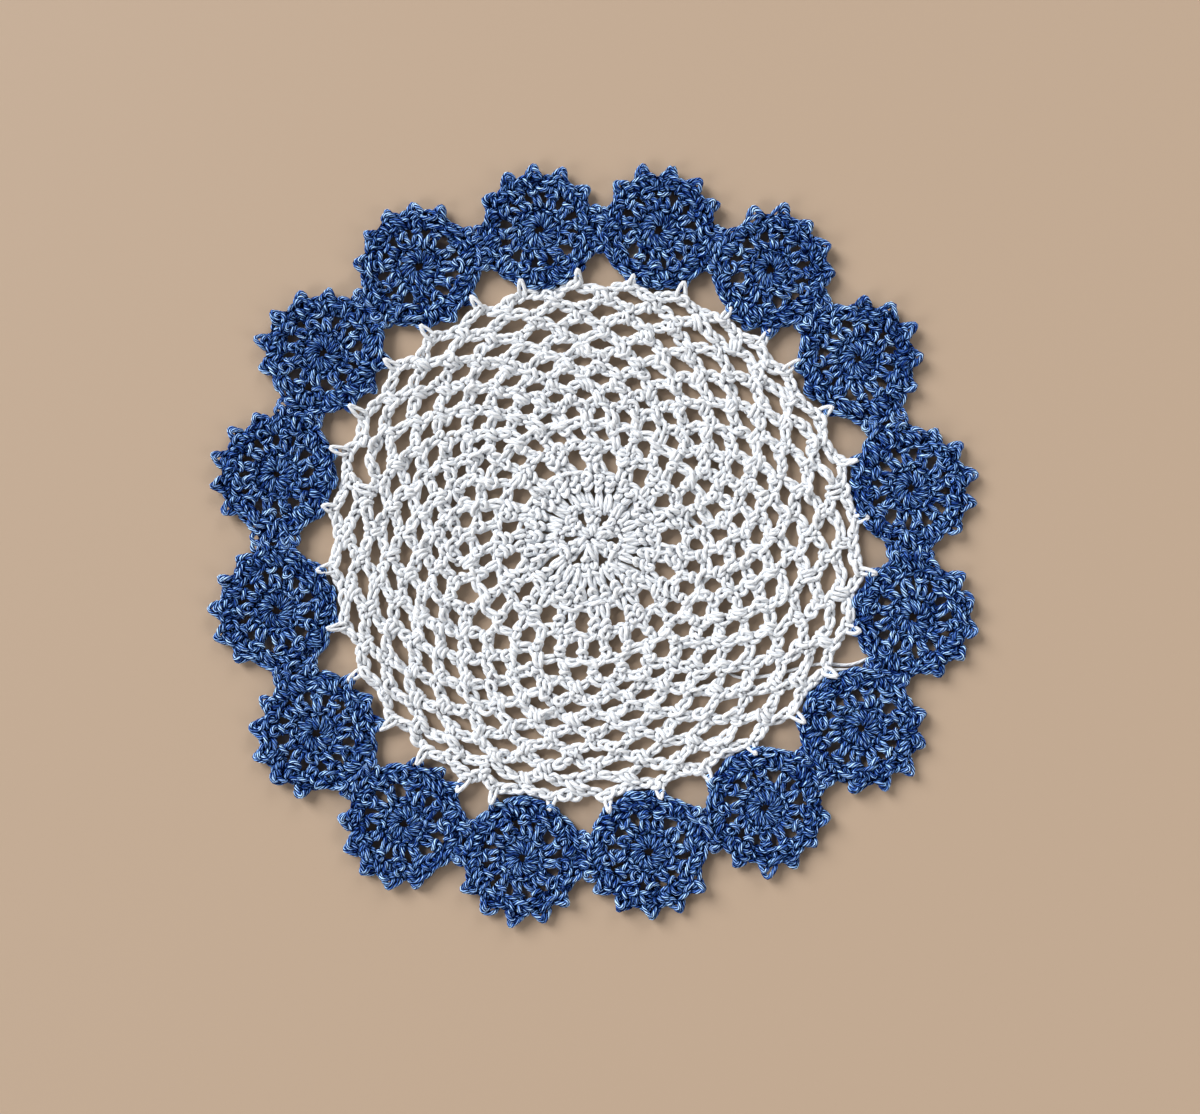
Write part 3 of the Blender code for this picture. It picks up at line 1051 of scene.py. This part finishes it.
def settle(lines):
    """Pushes threads that pass through each other apart, as far as soft yarn gives."""
    joined = np.concatenate(lines)
    places = joined[:, :3]
    radius = joined[:, 3]
    thread = thread_numbers(lines)
    reach = 2 * radius.max() * SQUASH
    for _ in range(SETTLING_ROUNDS):
        tree = tree_of(places)
        pairs = []
        for number, place in enumerate(places):
            for _, other, _ in tree.find_range(place, reach):
                apart = other - number > OWN_SEGMENTS or thread[other] != thread[number]
                if other > number and apart:
                    pairs.append((number, other))
        first, second = np.array(pairs).T
        gap = places[second] - places[first]
        distance = np.linalg.norm(gap, axis=1) + 1e-6
        needed = (radius[first] + radius[second]) * SQUASH
        push = np.clip(needed - distance, 0.0, None) * PUSH
        move = gap / distance[:, None] * (push / 2)[:, None]
        shift = np.zeros_like(places)
        np.add.at(shift, first, -move)
        np.add.at(shift, second, move)
        length = np.linalg.norm(shift, axis=1)
        shift *= (np.minimum(length, LONGEST_PUSH) / np.maximum(length, 1e-9))[:, None]
        places = places + shift
        inner = (places[:-2] + places[2:]) / 2
        same = (thread[:-2] == thread[2:])[:, None]
        places[1:-1] += np.where(same, (inner - places[1:-1]) * SMOOTHING, 0.0)
        places[:, 2] = np.maximum(places[:, 2], radius * FLOOR_CLEARANCE)
    ends = np.cumsum([len(line) for line in lines])[:-1]
    return np.split(np.column_stack([places, radius]), ends)


def rings_along(line, seed):
    """The rings of a thread swept along a line, and the length at each."""
    radius = line[:, 3]
    line = line[:, :3]
    step = np.diff(line, axis=0)
    length = np.concatenate([[0.0], np.cumsum(np.linalg.norm(step, axis=1))])
    ways = np.gradient(line, axis=0)
    ways /= np.linalg.norm(ways, axis=1)[:, None]
    side = np.cross(ways[0], (0.0, 0.0, 1.0))
    sides = np.empty_like(ways)
    for number, way in enumerate(ways):
        side = side - way * (side @ way)
        side = side / math.sqrt(side @ side)
        sides[number] = side
    others = np.cross(ways, sides)
    slubs = np.random.default_rng(seed).normal(1.0, SLUBS, len(line))
    slubs = np.convolve(slubs, (0.25, 0.5, 0.25), mode="same")
    slubs[[0, -1]] = END_TAPER
    angles = np.arange(SIDES) * 2 * math.pi / SIDES
    spokes = (
        np.cos(angles)[None, :, None] * sides[:, None, :]
        + np.sin(angles)[None, :, None] * others[:, None, :]
    )
    rings = line[:, None, :] + spokes * (radius * slubs)[:, None, None]
    return rings, length


def crevices(places, lines):
    """How deep each surface place lies in the crevices beside another thread, from 0 to 1, for the
    painted shade there.
    """
    middles = np.concatenate(lines)
    thread = thread_numbers(lines).tolist()
    radii = middles[:, 3].tolist()
    tree = tree_of(middles[:, :3])
    reach = max(radii) + CREVICE_WIDTH
    found = np.zeros(len(places))
    for number, place in enumerate(places):
        own = number // SIDES
        deepest = 0.0
        for _, other, distance in tree.find_range(place, reach):
            if abs(other - own) > OWN_RINGS or thread[other] != thread[own]:
                deepest = max(deepest, radii[other] - distance + CREVICE_WIDTH)
        found[number] = deepest / CREVICE_WIDTH
    return np.clip(found, 0.0, 1.0)


def picture_rows(steps, width):
    """Cuts threads, laid end to end, into rows of a width that fill a square picture.

    steps holds the length of each segment. Returns each segment's row and its place in it,
    the count of rows and their length."""
    starts = np.cumsum(steps) - steps
    needed = starts[-1] + steps[-1] + 2 * width
    rows = math.ceil(math.sqrt(needed / width))
    while rows * (rows * width - steps.max()) < needed:
        rows += 1
    filled = rows * width - steps.max()
    row = starts // filled
    return row, starts - row * filled, rows, rows * width


def add_map(mesh, name, u, v, cap_corners):
    """A UV map of the threads' sides and of their caps."""
    layer = mesh.uv_layers.new(name=name)
    uv = np.empty((len(mesh.loops), 2), np.float32)
    uv[: u.size, 0] = u.ravel()
    uv[: v.size, 1] = v.ravel()
    uv[u.size :] = cap_corners
    layer.data.foreach_set("uv", uv.ravel())


def add_maps(mesh, marks, steps, caps, radius):
    """The yarn's own map, of turns round it and mm along it, and the map for baking.

    marks and steps hold each segment's start and length. caps is how many there are."""
    corner = np.arange(SIDES)[None, :]
    share = np.stack([corner, corner + 1, corner + 1, corner], axis=2) / SIDES
    share = np.broadcast_to(share, (len(steps), SIDES, 4))
    ahead = steps[:, None, None] * np.array([0.0, 0.0, 1.0, 1.0])
    ahead = np.broadcast_to(ahead, share.shape)
    add_map(mesh, "yarn", share, marks[:, None, None] + ahead, (0.0, 0.0))

    row, start, rows, side = picture_rows(steps, 2 * math.pi * radius / ROW_FILL)
    along = (start[:, None, None] + ahead) / side
    across = (row[:, None, None] + (1 - ROW_FILL) / 2 + share * ROW_FILL) / rows
    cap = np.array([polar(FULL_TURN * k / SIDES, CAP_RADIUS) for k in range(SIDES)])
    cap = (cap + rows - CAP_FROM_CORNER) / rows
    add_map(mesh, "OFBake", along, across, np.tile(cap, (caps, 1)))


def yarn_piece(name, lines, radius, material):
    """One mesh of all the given threads, with the yarn's own coordinates on it."""
    places, faces, caps, steps, marks = [], [], [], [], []
    first = 0
    corner = np.arange(SIDES)[None, :]
    after = (corner + 1) % SIDES
    for line in lines:
        rings, length = rings_along(line, len(places) + 1)
        places.append(rings.reshape(-1, 3))
        ring = np.arange(len(rings) - 1)[:, None] * SIDES + first
        quads = [ring + corner, ring + after, ring + SIDES + after, ring + SIDES + corner]
        faces.append(np.stack(quads, axis=2).reshape(-1, 4))
        steps.append(np.diff(length))
        marks.append(length[:-1])
        caps.append([first + k for k in range(SIDES)][::-1])
        first += len(rings) * SIDES
        caps.append([first - SIDES + k for k in range(SIDES)])
    places = np.concatenate(places)
    mesh = bpy.data.meshes.new(name)
    mesh.from_pydata((places * MM).tolist(), [], np.concatenate(faces).tolist() + caps)
    add_maps(mesh, np.concatenate(marks), np.concatenate(steps), len(caps), radius)
    # How deep each place lies between threads, which the materials darken as painted shade.
    crevice_shade_depth = mesh.attributes.new("crevice_shade", "FLOAT", "POINT")
    crevice_shade_depth.data.foreach_set("value", crevices(places, lines))
    mesh.shade_smooth()
    mesh.materials.append(material)
    return new_object(name, mesh)


# -------- the materials


class Nodes:
    """Short calls for building the node tree of a material or world."""

    def __init__(self, owner):
        owner.use_nodes = True
        self.tree = owner.node_tree

    def add(self, kind, **settings):
        node = self.tree.nodes.new(kind)
        for key, value in settings.items():
            setattr(node, key, value)
        return node

    def link(self, source, target):
        self.tree.links.new(source, target)

    def parts(self, vector):
        node = self.add("ShaderNodeSeparateXYZ")
        self.link(vector, node.inputs[0])
        return node.outputs

    def math(self, operation, first, second=0.0):
        node = self.add("ShaderNodeMath", operation=operation)
        for socket, value in zip(node.inputs, (first, second)):
            if isinstance(value, (int, float)):
                socket.default_value = value
            else:
                self.link(value, socket)
        return node.outputs[0]

    def ramp(self, factor, stops):
        """A colour by the factor, through stops of a place and a colour."""
        node = self.add("ShaderNodeValToRGB")
        elements = node.color_ramp.elements
        while len(elements) < len(stops):
            elements.new(0.5)
        for element, (place, colour) in zip(elements, stops):
            element.position = place
            element.color = (*colour, 1.0)
        self.link(factor, node.inputs[0])
        return node.outputs[0]

    def noise(self, vector, scale, detail):
        node = self.add("ShaderNodeTexNoise")
        node.inputs["Scale"].default_value = scale
        node.inputs["Detail"].default_value = detail
        self.link(vector, node.inputs["Vector"])
        return node.outputs["Fac"]

    def multiply(self, first, second):
        """The product of two colours."""
        node = self.add("ShaderNodeMix", data_type="RGBA", blend_type="MULTIPLY")
        node.inputs[0].default_value = 1.0
        self.link(first, node.inputs[6])
        self.link(second, node.inputs[7])
        return node.outputs[2]


def yarn_coordinates(nodes):
    """The angle round the yarn from a line that turns with its plies, and the place there."""
    share, length, _ = nodes.parts(nodes.add("ShaderNodeUVMap", uv_map="yarn").outputs[0])
    turn = nodes.math("MULTIPLY", share, 2 * math.pi)
    lay = nodes.math("MULTIPLY", length, 2 * math.pi / LAY)
    angle = nodes.math("ADD", turn, lay)
    place = nodes.add("ShaderNodeCombineXYZ")
    nodes.link(nodes.math("COSINE", angle), place.inputs[0])
    nodes.link(nodes.math("SINE", angle), place.inputs[1])
    nodes.link(nodes.math("MULTIPLY", length, LENGTHWISE), place.inputs[2])
    return angle, place.outputs[0]


def cotton(name, plies, ply_colour_and_shade_stops, streak_and_highlight_stops, painted_shade_stops, roughness, gloss, sheen):
    """Plied yarn, with the colour stops across a ply, along it and down its crevices: painted shade
    in the grooves and crevices, and painted highlights where the streaks' colour goes above 1.
    """
    material = bpy.data.materials.new(name)
    nodes = Nodes(material)
    angle, place = yarn_coordinates(nodes)
    wave = nodes.math("SINE", nodes.math("MULTIPLY", angle, plies / 2))
    crown = nodes.math("ABSOLUTE", wave)
    fibres = nodes.noise(place, *FIBRES)
    # The plies' colour, with painted shade in the grooves between them.
    shade = nodes.ramp(crown, ply_colour_and_shade_stops)
    # The streaks along the yarn, the brightest of them painted highlights.
    heather_and_highlight = nodes.ramp(nodes.noise(place, *STREAKS), streak_and_highlight_stops)
    # Painted shade, the darker the deeper a place lies between threads.
    crevice_shade = nodes.add("ShaderNodeAttribute", attribute_name="crevice_shade")
    dark = nodes.ramp(crevice_shade.outputs["Fac"], painted_shade_stops)
    shader = nodes.tree.nodes["Principled BSDF"].inputs
    nodes.link(nodes.multiply(nodes.multiply(shade, heather_and_highlight), dark), shader["Base Color"])
    shader["Roughness"].default_value = roughness
    shader["Sheen Weight"].default_value = sheen
    shader["Sheen Roughness"].default_value = SHEEN_ROUGHNESS
    shader["Specular IOR Level"].default_value = gloss
    rounded = nodes.math("POWER", crown, PLY_ROUNDING)
    bump = nodes.add("ShaderNodeBump")
    bump.inputs["Strength"].default_value = RELIEF_STRENGTH
    bump.inputs["Distance"].default_value = RELIEF_HEIGHT * MM
    height = nodes.math("ADD", rounded, nodes.math("MULTIPLY", fibres, FIBRE_HEIGHT))
    nodes.link(height, bump.inputs["Height"])
    nodes.link(bump.outputs[0], shader["Normal"])
    return material


# -------- the scene and its pieces


def add_camera():
    camera = bpy.data.cameras.new("camera")
    camera.sensor_fit = "HORIZONTAL"
    camera.sensor_width = SENSOR
    camera.lens = FOCAL_PIXELS * SENSOR / PIXELS_ACROSS
    camera.clip_start = NEAREST_SEEN * MM
    holder = new_object("camera", camera)
    tilt = math.radians(CAMERA_TILT)
    distance = FOCAL_PIXELS * MM_PER_PIXEL
    holder.location = (
        AIM[0] * MM,
        (AIM[1] - distance * math.sin(tilt)) * MM,
        (AIM[2] + distance * math.cos(tilt)) * MM,
    )
    holder.rotation_euler = (tilt, 0.0, 0.0)
    bpy.context.scene.camera = holder


def add_light(name, bearing, elevation, across, strength, colour):
    light = bpy.data.lights.new(name, "SUN")
    light.angle = math.radians(across)
    light.energy = strength
    light.color = colour
    holder = new_object(name, light)
    rise = math.radians(elevation)
    x, y = polar(bearing, math.cos(rise))
    holder.location = (x, y, math.sin(rise))
    holder.rotation_euler = (math.pi / 2 - rise, 0.0, math.radians(bearing + 90.0))


def add_floor():
    mesh = bpy.data.meshes.new("floor")
    side = FLOOR_REACH * MM
    corners = [(-side, -side, 0.0), (side, -side, 0.0), (side, side, 0.0), (-side, side, 0.0)]
    mesh.from_pydata(corners, [], [(0, 1, 2, 3)])
    paint = bpy.data.materials.new("floor_paint")
    shader = Nodes(paint).tree.nodes["Principled BSDF"].inputs
    shader["Base Color"].default_value = FLOOR_COLOUR
    shader["Roughness"].default_value = FLOOR_ROUGHNESS
    mesh.materials.append(paint)
    floor = new_object("floor", mesh)


def add_world():
    world = bpy.data.worlds.new("studio")
    nodes = Nodes(world)
    height = nodes.parts(nodes.add("ShaderNodeTexCoord").outputs["Generated"])[2]
    nodes.link(nodes.ramp(height, STUDIO), nodes.tree.nodes["Background"].inputs[0])
    bpy.context.scene.world = world


def main():
    add_camera()
    add_floor()
    add_world()
    for light in LIGHTS:
        add_light(*light)
    bpy.context.scene.view_settings.view_transform = "Standard"

    white = cotton("white_cotton", **WHITE_COTTON)
    blue = cotton("blue_cotton", **BLUE_COTTON)
    spiral, last_turn = spiral_strand()
    net = [hub_strand(), spiral, rim_strand(last_turn)] + tail_strands()
    motifs = [motif_strand(number) for number in range(len(MOTIFS))]
    lines = [centreline(strand.points) for strand in net + motifs]
    lines = settle(lines)

    hub, spiral, rim, *others = lines
    outer = len(spiral) + len(rim) - OUTER_RINGS
    pieces = [
        yarn_piece("net_hub", [hub], WHITE_RADIUS, white),
        yarn_piece("net_inner", [spiral[: outer + 1]], WHITE_RADIUS, white),
        yarn_piece("net_outer", [spiral[outer:], rim], WHITE_RADIUS, white),
        yarn_piece("net_tail", others[: len(TAILS)], TAIL_RADIUS, white),
    ]
    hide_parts("net_centre")
    for number, line in enumerate(others[len(TAILS) :]):
        piece = yarn_piece(f"flower_{number + 1:02d}", [line], BLUE_RADIUS, blue)
        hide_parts(f"motif_{number + 1:02d}")
        pieces.append(piece)
    for piece in pieces:
        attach(piece, "root")


main()
